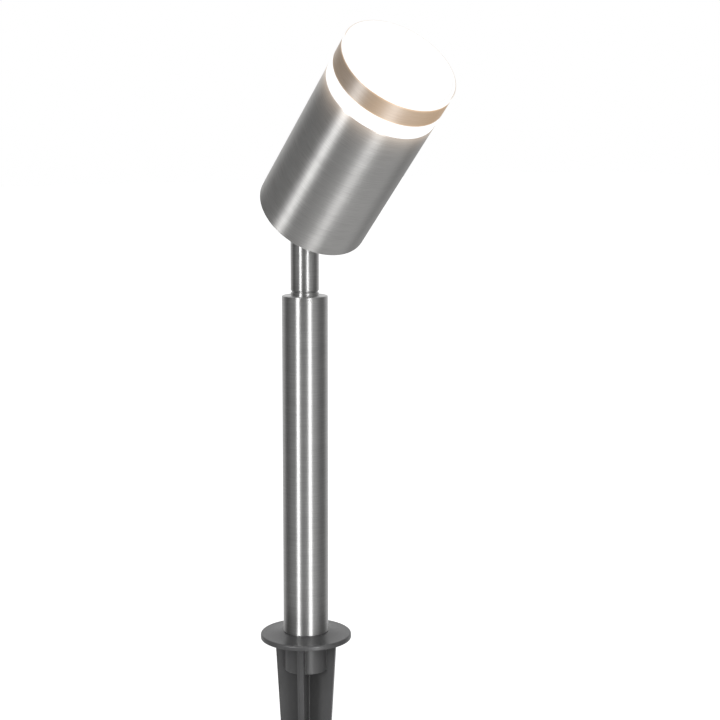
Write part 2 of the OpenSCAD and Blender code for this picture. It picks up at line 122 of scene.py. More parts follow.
def rounded(corners, steps=6):
    """Points of an outline of (radius, height, fillet) corners, with an arc at each fillet."""
    points = []
    for i, (r, z, fillet) in enumerate(corners):
        here = Vector((r, z))
        if fillet <= 0:
            points.append(here)
            continue
        before = Vector(corners[i - 1][:2]) - here
        after = Vector(corners[(i + 1) % len(corners)][:2]) - here
        half = before.angle(after) / 2
        centre = here + (before.normalized() + after.normalized()).normalized() * (
            fillet / math.sin(half))
        start = here + before.normalized() * (fillet / math.tan(half)) - centre
        end = here + after.normalized() * (fillet / math.tan(half)) - centre
        turn = start.angle_signed(end)
        for step in range(steps + 1):
            points.append(centre + Matrix.Rotation(-turn * step / steps, 2) @ start)
    return points


def tube_outline(low, high, inner, outer, low_rim, high_rim):
    """Outline of a plain tube, with the rounding of each of its rims."""
    return rounded([(inner, low, low_rim), (outer, low, low_rim), (outer, high, high_rim),
                    (inner, high, high_rim)])


def link(name, bm, place):
    """A new object from a bmesh, smooth shaded, at a place."""
    bmesh.ops.recalc_face_normals(bm, faces=bm.faces)
    mesh = bpy.data.meshes.new(name)
    bm.to_mesh(mesh)
    bm.free()
    mesh.shade_smooth()
    piece = bpy.data.objects.new(name, mesh)
    bpy.context.scene.collection.objects.link(piece)
    piece.matrix_world = place
    return piece


def lathe(name, outline, place, segments, on_axis=1e-9):
    """A closed solid turned from an outline of (radius, height) points about a place's Z axis.

    Points nearer than on_axis to the axis become one point on it.
    """
    bm = bmesh.new()
    turns = [2 * math.pi * k / segments for k in range(segments)]
    rings = []
    for r, z in outline:
        if r < on_axis:
            rings.append([bm.verts.new((0, 0, z))] * segments)
        else:
            rings.append([bm.verts.new((r * math.cos(t), r * math.sin(t), z)) for t in turns])
    for ring, following in zip(rings, rings[1:] + rings[:1]):
        if ring[0] is ring[1] and following[0] is following[1]:
            continue
        for k in range(segments):
            near = (k + 1) % segments
            corners = [ring[k], ring[near], following[near], following[k]]
            bm.faces.new(list(dict.fromkeys(corners)))
    piece = link(name, bm, place)
    weigh_normals(piece)
    return piece


def parting_line(name, spike, bearing, width, offset, steps=40, sides=8):
    """A low half-round rib along the end of one fin, where the mould's halves met."""
    out = Vector((math.cos(bearing), math.sin(bearing), 0))
    across = Vector((-out.y, out.x, 0))
    low = min(vertex.co.z for vertex in spike.data.vertices)
    tip_gap = 4 * width
    rib_height = width / 3
    outside = 100 * MM      # distance from the spike's axis, beyond every fin
    bm = bmesh.new()
    rings = []
    for i in range(steps):
        height = -width + (low + tip_gap) * i / (steps - 1)
        start = out * outside + across * offset + Vector((0, 0, height))
        hit, place, _, _ = spike.ray_cast(start, -out)
        if not hit:
            raise RuntimeError("no fin at height %.4f" % height)
        rings.append([bm.verts.new(place + across * (math.cos(t) * width / 2)
                                   + out * (math.sin(t) * rib_height))
                      for t in (2 * math.pi * k / sides for k in range(sides))])
    for ring, following in zip(rings, rings[1:]):
        for k in range(sides):
            near = (k + 1) % sides
            bm.faces.new((ring[k], ring[near], following[near], following[k]))
    bm.faces.new(rings[0])
    bm.faces.new(rings[-1])
    return link(name, bm, UPRIGHT)


def weigh_normals(piece):
    """Shades large faces flat and lets only the rounded edges between them turn."""
    modifier = piece.modifiers.new("face normals", "WEIGHTED_NORMAL")
    modifier.keep_sharp = True


def drill(piece, radius, start, end, sides=48, sharp_angle=50):
    """Cuts a round hole through a piece between two points."""
    bm = bmesh.new()
    bmesh.ops.create_cone(bm, cap_ends=True, segments=sides, radius1=radius, radius2=radius,
                          depth=(end - start).length)
    place = (end - start).to_track_quat("Z", "Y").to_matrix().to_4x4()
    place.translation = (start + end) / 2
    cutter = link("cutter", bm, place)
    modifier = piece.modifiers.new("hole", "BOOLEAN")
    modifier.object = cutter
    modifier.operation = "DIFFERENCE"
    modifier.solver = "EXACT"
    piece.modifiers.move(len(piece.modifiers) - 1, 0)
    normals = piece.modifiers.get("face normals")
    if normals:
        piece.modifiers.remove(normals)
    depsgraph = bpy.context.evaluated_depsgraph_get()
    mesh = bpy.data.meshes.new_from_object(piece.evaluated_get(depsgraph))
    piece.modifiers.clear()
    piece.data = mesh
    bpy.data.objects.remove(cutter)
    mesh.set_sharp_from_angle(angle=math.radians(sharp_angle))
    weigh_normals(piece)


def break_edges(node, width, segments=3, edge_angle=35, flat_angle=0.5, weld_gap=0.001 * MM):
    """Joins a node's faces and rounds its edges, leaving the node's own points as they are."""
    piece = frame["nodes"][node]
    weld = piece.modifiers.new("weld", "WELD")
    weld.merge_threshold = weld_gap
    planar = piece.modifiers.new("planar", "DECIMATE")
    planar.decimate_type = "DISSOLVE"
    planar.angle_limit = math.radians(flat_angle)
    bevel = piece.modifiers.new("edges", "BEVEL")
    bevel.width = width
    bevel.segments = segments
    bevel.limit_method = "ANGLE"
    bevel.angle_limit = math.radians(edge_angle)
    bevel.use_clamp_overlap = True
    bevel.miter_outer = "MITER_ARC"
    bevel.harden_normals = False
    piece.data.shade_smooth()
    weigh_normals(piece)
    return piece


# Materials

WHITE = (1.0, 1.0, 1.0)
BLACK = (0.0, 0.0, 0.0)

# Brush marks on steel: noise per millimetre along X, Y and Z, fine and broad, and their mix
FINE_MARKS = (0.11, 0.11, 3.0)
BROAD_MARKS = (0.02, 0.02, 0.12)
BROAD_SHARE = 0.25
STEEL_ROUGHNESS_RANGE = 0.03
STEEL_BUMP = 0.35

# Uneven tone of plastic, rubber and opal: noise per millimetre
PLASTIC_CLOUDS = (0.08, 0.08, 0.05)
PLASTIC_ROUGHNESS_RANGE = 0.06
PLASTIC_BUMP = 0.5
OPAL_CLOUDS = (0.05, 0.05, 0.05)
OPAL_CLOUD_DEPTH = 0.01

OPAL_ROUGHNESS = 0.28

# The lens's groove and edge band, with widths as shares of its radius. Both are painted shade on the lit face:
# the face is dimmer in the groove and tinted along its far rim. The band keeps to the
# face: it fades in where the surface rises from sideways, 0, to forwards, 1.
GROOVE_SHADE = (0.72, 0.7, 0.68)
GROOVE_BLUR = 0.01
EDGE_BAND = (0.975, 0.985)
BAND_RISE = (0.1, 0.3)


def add_node(material, kind, sockets=None, **settings):
    """Adds a shader node. Each socket takes a value, or the output of another node."""
    made = material.node_tree.nodes.new(kind)
    for name, value in settings.items():
        setattr(made, name, value)
    for name, value in (sockets or {}).items():
        if isinstance(value, bpy.types.NodeSocket):
            material.node_tree.links.new(value, made.inputs[name])
        else:
            made.inputs[name].default_value = value
    return made


def new_material(name, **sockets):
    """A material, and its shader with the given values on the shader's own sockets."""
    material = bpy.data.materials.new(name)
    material.use_nodes = True
    shader = material.node_tree.nodes["Principled BSDF"]
    for name_of_socket, value in sockets.items():
        shader.inputs[name_of_socket.replace("_", " ")].default_value = value
    return material, shader


def noise(material, scale, detail=3.0, turned=None, roughness=0.5):
    """Noise over a piece's own coordinates, with a scale per metre along each axis."""
    point = add_node(material, "ShaderNodeTexCoord").outputs["Object"]
    if turned is not None:
        point = add_node(material, "ShaderNodeMapping",
                         {"Vector": point, "Rotation": turned}).outputs["Vector"]
    placed = add_node(material, "ShaderNodeMapping", {"Vector": point, "Scale": scale})
    return add_node(material, "ShaderNodeTexNoise",
                    {"Vector": placed.outputs["Vector"], "Scale": 1.0, "Detail": detail,
                     "Roughness": roughness}).outputs["Fac"]


def spread(material, value, low, high, source_low=0.3, source_high=0.7):
    """Maps a value between two limits."""
    return add_node(material, "ShaderNodeMapRange",
                    {"Value": value, "From Min": source_low, "From Max": source_high,
                     "To Min": low, "To Max": high}).outputs["Result"]


def shade(material, shader, colour, value, depth):
    """Varies a base colour by a share of its brightness."""
    factor = spread(material, value, 1 - depth, 1 + depth)
    tone = add_node(material, "ShaderNodeVectorMath",
                    {0: tuple(colour), "Scale": factor}, operation="SCALE")
    material.node_tree.links.new(tone.outputs["Vector"], shader.inputs["Base Color"])


def bump(material, shader, height, distance, strength):
    """Raises a material's look by a height map."""
    made = add_node(material, "ShaderNodeBump",
                    {"Height": height, "Distance": distance, "Strength": strength})
    material.node_tree.links.new(made.outputs["Normal"], shader.inputs["Normal"])


def soften(material, shader, radius, samples=6):
    """Rounds the look of moulded edges and corners, under the bump."""
    edge = add_node(material, "ShaderNodeBevel", {"Radius": radius}, samples=samples)
    normal = shader.inputs["Normal"]
    target = normal.links[0].from_node.inputs["Normal"] if normal.is_linked else normal
    material.node_tree.links.new(edge.outputs["Normal"], target)


def ramp(material, share, marks):
    """A ramp of colours at shares from 0 to 1."""
    made = add_node(material, "ShaderNodeValToRGB", {"Fac": share})
    elements = made.color_ramp.elements
    elements[0].color = (*marks[0][1], 1.0)
    elements[1].color = (*marks[-1][1], 1.0)
    for position, colour in marks[1:-1]:
        elements.new(position).color = (*colour, 1.0)
    return made.outputs["Color"]


def step_up(material, share, start, end):
    """A ramp that is black up to a start and white from an end."""
    return ramp(material, share, ((0.0, BLACK), (start, BLACK), (end, WHITE), (1.0, WHITE)))


def product(material, *factors):
    """Colours multiplied with each other."""
    total = factors[0]
    for factor in factors[1:]:
        total = add_node(material, "ShaderNodeVectorMath", {0: total, 1: factor},
                         operation="MULTIPLY").outputs["Vector"]
    return total


def scaled(scale):
    """Noise scale per metre from one per millimetre."""
    return tuple(value / MM for value in scale)


def steel(name, finish, tint=WHITE, turned=None, coarse=1.0):
    """Stainless steel brushed round the piece's Z axis."""
    roughness = finish.roughness * coarse
    colour = [part * share for part, share in zip(finish.colour, tint)]
    material, shader = new_material(name, Metallic=1.0, Anisotropic=finish.anisotropy,
                                    Anisotropic_Rotation=0.25)
    fine = noise(material, scaled(FINE_MARKS), turned=turned, roughness=0.6)
    broad = noise(material, scaled(BROAD_MARKS), detail=2.0, turned=turned)
    # Sockets 0, 2 and 3 of a mix of numbers are its factor and the two numbers
    streak = add_node(material, "ShaderNodeMix",
                      {0: BROAD_SHARE, 2: fine, 3: broad}).outputs[0]
    shade(material, shader, colour, streak, finish.streaks)
    rough = spread(material, streak, roughness - STEEL_ROUGHNESS_RANGE,
                   roughness + STEEL_ROUGHNESS_RANGE)
    material.node_tree.links.new(rough, shader.inputs["Roughness"])
    tangent = add_node(material, "ShaderNodeTangent", direction_type="RADIAL", axis="Z")
    material.node_tree.links.new(tangent.outputs["Tangent"], shader.inputs["Tangent"])
    bump(material, shader, fine, finish.groove, STEEL_BUMP)
    return material, shader


def rim_light(material, rim, strength, reach):
    """Light that fades away from a rim, which lies at a height on the piece's Z axis."""
    point = add_node(material, "ShaderNodeTexCoord").outputs["Object"]
    height = add_node(material, "ShaderNodeSeparateXYZ", {"Vector": point}).outputs["Z"]
    away = add_node(material, "ShaderNodeMath", {0: height, 1: rim}, operation="SUBTRACT")
    away = add_node(material, "ShaderNodeMath", {0: away.outputs[0]}, operation="ABSOLUTE")
    steps = add_node(material, "ShaderNodeMath", {0: away.outputs[0], 1: -1 / reach},
                     operation="MULTIPLY")
    fade = add_node(material, "ShaderNodeMath", {0: steps.outputs[0]}, operation="EXPONENT")
    return add_node(material, "ShaderNodeMath", {0: fade.outputs[0], 1: strength},
                    operation="MULTIPLY").outputs[0]


def side_light(material, direction, dim, bright, start, end):
    """Light that grows from dim to bright between two distances along a direction."""
    point = add_node(material, "ShaderNodeTexCoord").outputs["Object"]
    facing = add_node(material, "ShaderNodeVectorMath", {0: point, 1: direction},
                      operation="DOT_PRODUCT").outputs["Value"]
    return add_node(material, "ShaderNodeMapRange",
                    {"Value": facing, "From Min": start, "From Max": end, "To Min": dim,
                     "To Max": bright}, interpolation_type="SMOOTHSTEP").outputs["Result"]


def shine(material, shader, colour, *lights):
    """Adds up the light that a piece gives off."""
    total = lights[0]
    for light in lights[1:]:
        total = add_node(material, "ShaderNodeMath", {0: total, 1: light},
                         operation="ADD").outputs[0]
    shader.inputs["Emission Color"].default_value = (*colour, 1.0)
    material.node_tree.links.new(total, shader.inputs["Emission Strength"])


def plastic(name, colour, roughness, grain, depth=0.12, lift=0.02 * MM, sheen=0.5):
    """Moulded plastic or rubber with a fine grain and uneven tone."""
    material, shader = new_material(name, Roughness=roughness, Specular_IOR_Level=sheen)
    cloud = noise(material, scaled(PLASTIC_CLOUDS))
    fine = noise(material, scaled((grain, grain, grain)))
    shade(material, shader, colour, cloud, depth)
    rough = spread(material, fine, roughness - PLASTIC_ROUGHNESS_RANGE,
                   roughness + PLASTIC_ROUGHNESS_RANGE)
    material.node_tree.links.new(rough, shader.inputs["Roughness"])
    bump(material, shader, fine, lift, PLASTIC_BUMP)
    return material, shader


def opal(name, glow, rim=None):
    """Lit opal acrylic. A lens, given its rim's radius, gets painted shade in its groove and along its far edge.
    """
    material, shader = new_material(name, Roughness=OPAL_ROUGHNESS,
                                    Emission_Color=(*glow.opal_colour, 1.0),
                                    Emission_Strength=glow.opal_strength)
    cloud = noise(material, scaled(OPAL_CLOUDS), detail=2.0)
    shade(material, shader, [glow.opal_body] * 3, cloud, OPAL_CLOUD_DEPTH)
    if rim is None:
        return material
    point = add_node(material, "ShaderNodeTexCoord").outputs["Object"]
    flat = product(material, point, (1.0, 1.0, 0.0))
    radius = add_node(material, "ShaderNodeVectorMath", {0: flat}, operation="LENGTH")
    share = add_node(material, "ShaderNodeMath", {0: radius.outputs["Value"], 1: rim},
                     operation="DIVIDE").outputs[0]
    # Painted shade: the lit face is dimmer in its groove
    groove = ramp(material, share, ((0.0, WHITE), (GROOVE_SHARE - GROOVE_BLUR, WHITE),
                                    (GROOVE_SHARE, GROOVE_SHADE),
                                    (GROOVE_SHARE + GROOVE_BLUR, WHITE), (1.0, WHITE)))
    normal = add_node(material, "ShaderNodeTexCoord").outputs["Normal"]
    rise = add_node(material, "ShaderNodeSeparateXYZ", {"Vector": normal}).outputs["Z"]
    # Painted shade: a warm, dimmer line along the face's rim, on the lens's far side only
    loss = product(material, step_up(material, rise, *BAND_RISE),
                   step_up(material, share, *EDGE_BAND),
                   side_light(material, LENS_FAR_SIDE / rim, 0.0, 1.0, *LENS_FAR_REACH))
    less = [part - 1 for part in glow.edge_shade_tint]
    edge = add_node(material, "ShaderNodeVectorMath", {0: loss, 1: less, 2: WHITE},
                    operation="MULTIPLY_ADD").outputs["Vector"]
    material.node_tree.links.new(product(material, groove, edge),
                                 shader.inputs["Emission Color"])
    return material


def dress(piece, material):
    """Gives a piece one material."""
    piece.data.materials.clear()
    piece.data.materials.append(material)


def dress_nodes(material, *nodes):
    """Gives a material to nodes that keep their own shapes."""
    for name in nodes:
        dress(frame["nodes"][name], material)


def finish_piece(piece, material, body, *nodes):
    """Gives a new piece its material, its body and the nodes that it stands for."""
    dress(piece, material)
    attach(piece, body)
    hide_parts(*nodes)


def seen_directly(material):
    """1 for what the camera sees, also by way of a mirror or through glass, and 0 otherwise."""
    path = add_node(material, "ShaderNodeLightPath")
    seen = path.outputs["Is Camera Ray"]
    for kind in ("Is Glossy Ray", "Is Transmission Ray"):
        seen = add_node(material, "ShaderNodeMath", {0: seen, 1: path.outputs[kind]},
                        operation="MAXIMUM").outputs[0]
    return seen


# Settings

class SpotlightSteel(PropertyGroup):
    """Finish of the stainless steel."""
    colour: FloatVectorProperty(name="Colour", description="Reflected colour of the steel",
                                subtype="COLOR", default=(0.62, 0.62, 0.615), min=0, max=1)
    roughness: FloatProperty(name="Roughness", description="Roughness of the brushed surface",
                             default=0.45, min=0.05, max=1)
    head_tint: FloatVectorProperty(name="Head tint", subtype="COLOR", min=0, max=1,
                                   description="Colour of the head's steel beside the pole's",
                                   default=(0.955, 0.945, 0.935))
    ring_coarse: FloatProperty(name="Ring coarseness", min=0.5, max=2, default=1.4,
                               description="Roughness of the trim ring as a share of the tubes'")
    neck_coarse: FloatProperty(name="Neck coarseness", min=0.5, max=2, default=1.03,
                               description="Roughness of the neck as a share of the tubes'")
    anisotropy: FloatProperty(name="Anisotropy",
                              description="How far a highlight is drawn out along the piece",
                              default=0.95, min=0, max=1)
    streaks: FloatProperty(name="Streaks", description="Brightness range of the brush marks",
                           default=0.14, min=0, max=0.5)
    groove: FloatProperty(name="Groove depth", description="Depth of the brush marks",
                          default=0.01 * MM, unit="LENGTH", min=0)


class SpotlightGlow(PropertyGroup):
    """Light of the opal pieces and its warm edge on the steel."""
    opal_colour: FloatVectorProperty(name="Opal colour", description="Colour of the lit opal",
                                     subtype="COLOR", default=(1.0, 1.0, 1.0), min=0, max=1)
    opal_body: FloatProperty(name="Opal body", description="Paleness of the opal itself",
                             default=0.4, min=0, max=1)
    opal_strength: FloatProperty(name="Opal strength", description="Brightness of the lit opal",
                                 default=0.70, min=0)
    # Painted shade: colour of the dim warm line along the lens's far rim
    edge_shade_tint: FloatVectorProperty(name="Lens edge tint", subtype="COLOR", min=0, max=1,
                                   description="Colour that the lens loses light to at its edge",
                                   default=(0.58, 0.46, 0.34))
    tube_colour: FloatVectorProperty(name="Tube glow", subtype="COLOR", min=0, max=1,
                                     description="Colour of the light on the tube's end",
                                     default=(1.0, 0.80, 0.62))
    tube_strength: FloatProperty(name="Tube glow strength", min=0, default=0.36,
                                 description="Brightness of the light on the tube's end")
    tube_reach: FloatProperty(name="Tube glow reach", min=0, default=3.8 * MM, unit="LENGTH",
                              description="Distance over which the light on the tube fades")
    ring_colour: FloatVectorProperty(name="Ring glow", subtype="COLOR", min=0, max=1,
                                     description="Colour of the light on the trim ring",
                                     default=(1.0, 0.66, 0.37))
    # Painted reflection: a dimmer, slightly warm copy of the steel for the trim ring, standing in for the lamp's
    # warm light reflected in it
    ring_painted_tint: FloatVectorProperty(name="Ring tint", subtype="COLOR", min=0, max=1,
                                   description="Tint of the trim ring's reflections",
                                   default=(0.82, 0.80, 0.79))
    ring_dim: FloatProperty(name="Ring glow, left", min=0, default=0.15,
                            description="Brightness of the light on the ring's left side")
    ring_bright: FloatProperty(name="Ring glow, right", min=0, default=0.37,
                               description="Brightness of the light on the ring's right side")
    rim_strength: FloatProperty(name="Rim glow", min=0, default=0.5,
                                description="Brightness of the light on the ring's edges")
    rim_reach: FloatProperty(name="Rim glow reach", min=0, default=0.4 * MM, unit="LENGTH",
                             description="Distance over which the light on the edges fades")


class SpotlightPlastic(PropertyGroup):
    """Finish of the ground spike."""
    colour: FloatVectorProperty(name="Colour", description="Colour of the spike's plastic",
                                subtype="COLOR", default=(0.062, 0.062, 0.063), min=0, max=1)
    roughness: FloatProperty(name="Roughness", description="Roughness of the spike's plastic",
                             default=0.36, min=0.05, max=1)
    sheen: FloatProperty(name="Sheen", description="Strength of the spike's reflections",
                         default=0.9, min=0, max=1)
    edge: FloatProperty(name="Edge radius", description="Rounding of the spike's moulded edges",
                        default=0.5 * MM, unit="LENGTH", min=0)
    # Painted shade: how far the spike's colour darkens in the deep recesses between its fins and boss
    recess_shade_tone: FloatProperty(name="Recess tone", min=0, max=1, default=0.25,
                               description="Share of the colour that a deep recess keeps")
    recess_shade_reach: FloatProperty(name="Recess reach", unit="LENGTH", min=0, default=14 * MM,
                                description="Width of the gaps that count as recesses")
    parting_width: FloatProperty(name="Parting line", unit="LENGTH", min=0, default=0.45 * MM,
                                 description="Width of the mould's parting line on two fins")
    parting_offset: FloatProperty(name="Parting line offset", unit="LENGTH", default=0.75 * MM,
                                  description="Distance of the line from the fin's middle")


class SpotlightShape(PropertyGroup):
    """Edges of the turned pieces."""
    rim: FloatProperty(name="Rim radius", description="Rounding of the cut ends of the tubes",
                       default=0.4 * MM, unit="LENGTH", min=0)
    turned_edge: FloatProperty(name="Turned edge",
                               description="Rounding of the edges of turned and milled steel",
                               default=0.2 * MM, unit="LENGTH", min=0)
    collar_chamfer: FloatProperty(name="Collar chamfer", unit="LENGTH", subtype="DISTANCE",
                                  description="Chamfer of the collar that the neck turns on",
                                  default=0.8 * MM, min=0.2 * MM, max=1 * MM)
    lens_edge: FloatProperty(name="Lens edge", description="Rounding of the lens at its rim",
                             default=0.5 * MM, unit="LENGTH", min=0)
    segments: IntProperty(name="Segments", description="Flats round a turned piece",
                          default=192, min=24)


class SpotlightStudio(PropertyGroup):
    """Camera and lights."""
    camera_place: FloatVectorProperty(name="Camera", description="Place of the camera",
                                      subtype="TRANSLATION", unit="LENGTH",
                                      default=(-0.4239, -0.6332, 0.2556))
    heading: FloatProperty(name="Heading", description="Camera heading from +X towards +Y",
                           subtype="ANGLE", default=math.radians(54.21))
    pitch: FloatProperty(name="Pitch", description="Camera pitch above the horizon",
                         subtype="ANGLE", default=math.radians(-8.75))
    roll: FloatProperty(name="Roll", description="Camera roll", subtype="ANGLE",
                        default=math.radians(0.11))
    focal_length: FloatProperty(name="Focal length", description="Camera focal length in mm",
                                default=80.0, min=1)
    daylight: FloatProperty(name="Soft light", default=0.55, min=0,
                            description="Brightness of the soft light all round")
    strip_strength: FloatProperty(name="Strip strength",
                                  description="Share of the strip lights' set brightness",
                                  default=1.0, min=0)
    strip_distance: FloatProperty(name="Strip distance",
                                  description="Distance of the strip lights from the object",
                                  default=3.0, unit="LENGTH", min=0.2)
    strip_height: FloatProperty(name="Aim height",
                                description="Height that the strip lights are aimed at",
                                default=0.16, unit="LENGTH")


class SpotlightSettings(PropertyGroup):
    """All settings of the spotlight."""
    steel: PointerProperty(type=SpotlightSteel)
    glow: PointerProperty(type=SpotlightGlow)
    plastic: PointerProperty(type=SpotlightPlastic)
    shape: PointerProperty(type=SpotlightShape)
    studio: PointerProperty(type=SpotlightStudio)


# Pieces

class SPOTLIGHT_OT_head_tube(Operator):
    """Turn the head's outer tube with rounded ends"""
    bl_idname = "spotlight.head_tube"
    bl_label = "Head Tube"

    def execute(self, context):
        settings = context.scene.spotlight
        rim = settings.shape.rim
        low, high, inner, outer = extent("head_tube", HEAD)
        outline = tube_outline(low, high, inner, outer, rim, rim)
        tube = lathe("head_shell", outline, HEAD, settings.shape.segments)
        material, shader = steel("brushed steel, head", settings.steel, settings.steel.head_tint)
        glow = settings.glow
        shine(material, shader, glow.tube_colour,
              rim_light(material, high, glow.tube_strength, glow.tube_reach))
        finish_piece(tube, material, "head", "head_tube")
        return {"FINISHED"}


class SPOTLIGHT_OT_trim_ring(Operator):
    """Turn the trim ring between the lit band and the lens"""
    bl_idname = "spotlight.trim_ring"
    bl_label = "Trim Ring"

    def execute(self, context):
        settings = context.scene.spotlight
        rim = settings.shape.rim
        low, high, inner, outer = extent("trim_ring", HEAD)
        outline = tube_outline(low, high, inner, outer, rim, rim)
        ring = lathe("front_trim_ring", outline, HEAD, settings.shape.segments)
        glow = settings.glow
        # The ring's steel carries a painted warm reflection through its dimmer, warmer tint
        material, shader = steel("brushed steel, trim ring", settings.steel, glow.ring_painted_tint,
                                 coarse=settings.steel.ring_coarse)
        shine(material, shader, glow.ring_colour,
              side_light(material, RING_BRIGHT_SIDE / outer, glow.ring_dim, glow.ring_bright,
                         *RING_BRIGHT_REACH),
              rim_light(material, low, glow.rim_strength, glow.rim_reach),
              rim_light(material, high, glow.rim_strength, glow.rim_reach))
        finish_piece(ring, material, "head", "trim_ring")
        return {"FINISHED"}


class SPOTLIGHT_OT_opal(Operator):
    """Turn the lit side diffuser and the lit front lens"""
    bl_idname = "spotlight.opal"
    bl_label = "Opal Diffuser and Lens"

    def execute(self, context):
        settings = context.scene.spotlight
        segments = settings.shape.segments
        low, high, inner, band = extent("side_diffuser", HEAD)
        sleeve = extent("trim_ring", HEAD)[2] - FIT
        band_low = extent("head_tube", HEAD)[1]
        band_high = extent("trim_ring", HEAD)[0]
        soft = 0.3 * MM
        band_edge = soft / 3
        outline = rounded([(inner, low, soft), (sleeve, low, soft), (sleeve, band_low, 0),
                           (band, band_low, band_edge), (band, band_high, band_edge),
                           (sleeve, band_high, 0), (sleeve, high, soft), (inner, high, soft)])
        diffuser = lathe("lit_side_band", outline, HEAD, segments)
        finish_piece(diffuser, opal("lit opal, band", settings.glow), "head", "side_diffuser")

        foot, face, _, outer = extent("front_lens", HEAD)
        back = extent("trim_ring", HEAD)[1]
        edge = settings.shape.lens_edge
        back_edge = edge / 5
        spigot = inner - FIT
        groove = outer * GROOVE_SHARE
        groove_side, groove_depth = 0.35 * MM, 0.12 * MM
        outline = rounded([(0, face, 0), (groove - groove_side, face, 0),
                           (groove, face - groove_depth, 0), (groove + groove_side, face, 0),
                           (outer, face, edge), (outer, back, back_edge), (spigot, back, 0),
                           (spigot, foot, soft), (spigot - LENS_WALL, foot, soft),
                           (spigot - LENS_WALL, back, 0), (0, back, 0)])
        lens = lathe("lit_front_lens", outline, HEAD, segments)
        finish_piece(lens, opal("lit opal, lens", settings.glow, outer), "head", "front_lens")
        return {"FINISHED"}


class SPOTLIGHT_OT_pole(Operator):
    """Turn the pole's tube and cap, and drill the tube for its grub screw"""
    bl_idname = "spotlight.pole"
    bl_label = "Pole"

    def execute(self, context):
        settings = context.scene.spotlight
        segments = settings.shape.segments
        rim = settings.shape.rim / 2
        edge = settings.shape.turned_edge
        low, high, _, outer = extent("pole_tube", UPRIGHT)
        bottom, top, bore, cap_r = extent("pole_cap", UPRIGHT)
        inner = outer - POLE_WALL
        fine_edge = edge / 2
        outline = tube_outline(low, high, inner, outer, rim, fine_edge)
        tube = lathe("pole_shell", outline, UPRIGHT, segments)
        grub_low, grub_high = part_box("pole_grub_screw")
        grub = (grub_low + grub_high) / 2
        drill(tube, (grub_high.x - grub_low.x) / 2 + FIT, Vector((0, inner / 2, grub.z)),
              Vector((0, outer * 2, grub.z)))
        material, _ = steel("brushed steel, pole", settings.steel)
        finish_piece(tube, material, "base", "pole_tube")

        cap_top = high + CAP_PLATE
        cap_edge = 1.3 * edge
        plug = inner - FIT
        collar = extent("neck_stem", UPRIGHT)[3]
        chamfer = settings.shape.collar_chamfer
        outline = rounded([(bore, bottom, edge), (plug, bottom, edge), (plug, high, 0),
                           (cap_r, high, fine_edge), (cap_r, cap_top, cap_edge),
                           (collar, cap_top, fine_edge), (collar, top - chamfer, fine_edge),
                           (collar - chamfer, top, fine_edge), (bore, top, edge)])
        cap = lathe("pole_top_cap", outline, UPRIGHT, segments)
        material, _ = steel("turned steel, cap", settings.steel)
        finish_piece(cap, material, "base", "pole_cap")
        return {"FINISHED"}


class SPOTLIGHT_OT_hinge(Operator):
    """Finish the turned neck, the hinge tongue and the back plate"""
    bl_idname = "spotlight.hinge"
    bl_label = "Neck and Hinge"

    def execute(self, context):
        settings = context.scene.spotlight
        edge = settings.shape.turned_edge
        material, _ = steel("turned steel, neck", settings.steel,
                            coarse=settings.steel.neck_coarse)
        break_edges("neck_stem", edge)
        dress_nodes(material, "neck_stem")
        material, _ = steel("turned steel, head", settings.steel,
                            turned=HEAD.inverted().to_euler())
        for node in ("hinge_tongue", "back_plate"):
            break_edges(node, edge)
            dress_nodes(material, node)
        return {"FINISHED"}


class SPOTLIGHT_OT_fasteners(Operator):
    """Finish the screws, nuts, washers and pins"""
    bl_idname = "spotlight.fasteners"
    bl_label = "Fasteners"

    def execute(self, context):
        material, shader = new_material("bright steel, fasteners", Metallic=1.0, Roughness=0.25)
        marks = noise(material, scaled((1.5, 1.5, 1.5)))
        shade(material, shader, (0.70, 0.70, 0.70), marks, depth=0.06)
        rough = spread(material, marks, low=0.2, high=0.32)
        material.node_tree.links.new(rough, shader.inputs["Roughness"])
        for node, slot in SLOTS.items():
            if slot == "fastener_steel":
                break_edges(node, width=0.12 * MM, segments=2)
                dress_nodes(material, node)
        return {"FINISHED"}


class SPOTLIGHT_OT_spike(Operator):
    """Finish the moulded ground spike and its cable grommet"""
    bl_idname = "spotlight.spike"
    bl_label = "Ground Spike"

    # Bearing of each fin that has a parting line, and the side of the fin's middle it is on
    parted_fins = ((45, 1), (225, -1))

    def execute(self, context):
        settings = context.scene.spotlight.plastic
        spike = frame["nodes"]["ground_spike"]
        material, shader = plastic("moulded plastic, spike", settings.colour, settings.roughness,
                                   grain=1.6, sheen=settings.sheen)
        self.paint_recess_shade(material, shader, settings)
        soften(material, shader, settings.edge)
        dress(spike, material)
        spike.data.shade_smooth()
        for number, (bearing, side) in enumerate(self.parted_fins, 1):
            line = parting_line("parting_line_%d" % number, spike, math.radians(bearing),
                                settings.parting_width, side * settings.parting_offset)
            dress(line, material)
            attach(line, "base")
        break_edges("cable_grommet", settings.edge / 2, segments=2)
        rubber, _ = plastic("moulded rubber, grommet", (0.03, 0.03, 0.03), roughness=0.6,
                            grain=2.5)
        dress_nodes(rubber, "cable_grommet")
        return {"FINISHED"}

    def paint_recess_shade(self, material, shader, settings):
        """Paints shade between the fins and under the boss: the colour deepens where the spike's own parts hide
        the surface.
        """
        colour = shader.inputs["Base Color"].links[0].from_socket
        # Painted shade: the colour is scaled down by the share of the surface that the spike's own parts hide
        shelter = add_node(material, "ShaderNodeAmbientOcclusion",
                           {"Distance": settings.recess_shade_reach}, only_local=True, samples=8)
        open_share = spread(material, shelter.outputs["AO"], settings.recess_shade_tone, 1.0,
                            source_low=0.35, source_high=0.95)
        tone = add_node(material, "ShaderNodeVectorMath", {0: colour, "Scale": open_share},
                        operation="SCALE")
        material.node_tree.links.new(tone.outputs["Vector"], shader.inputs["Base Color"])


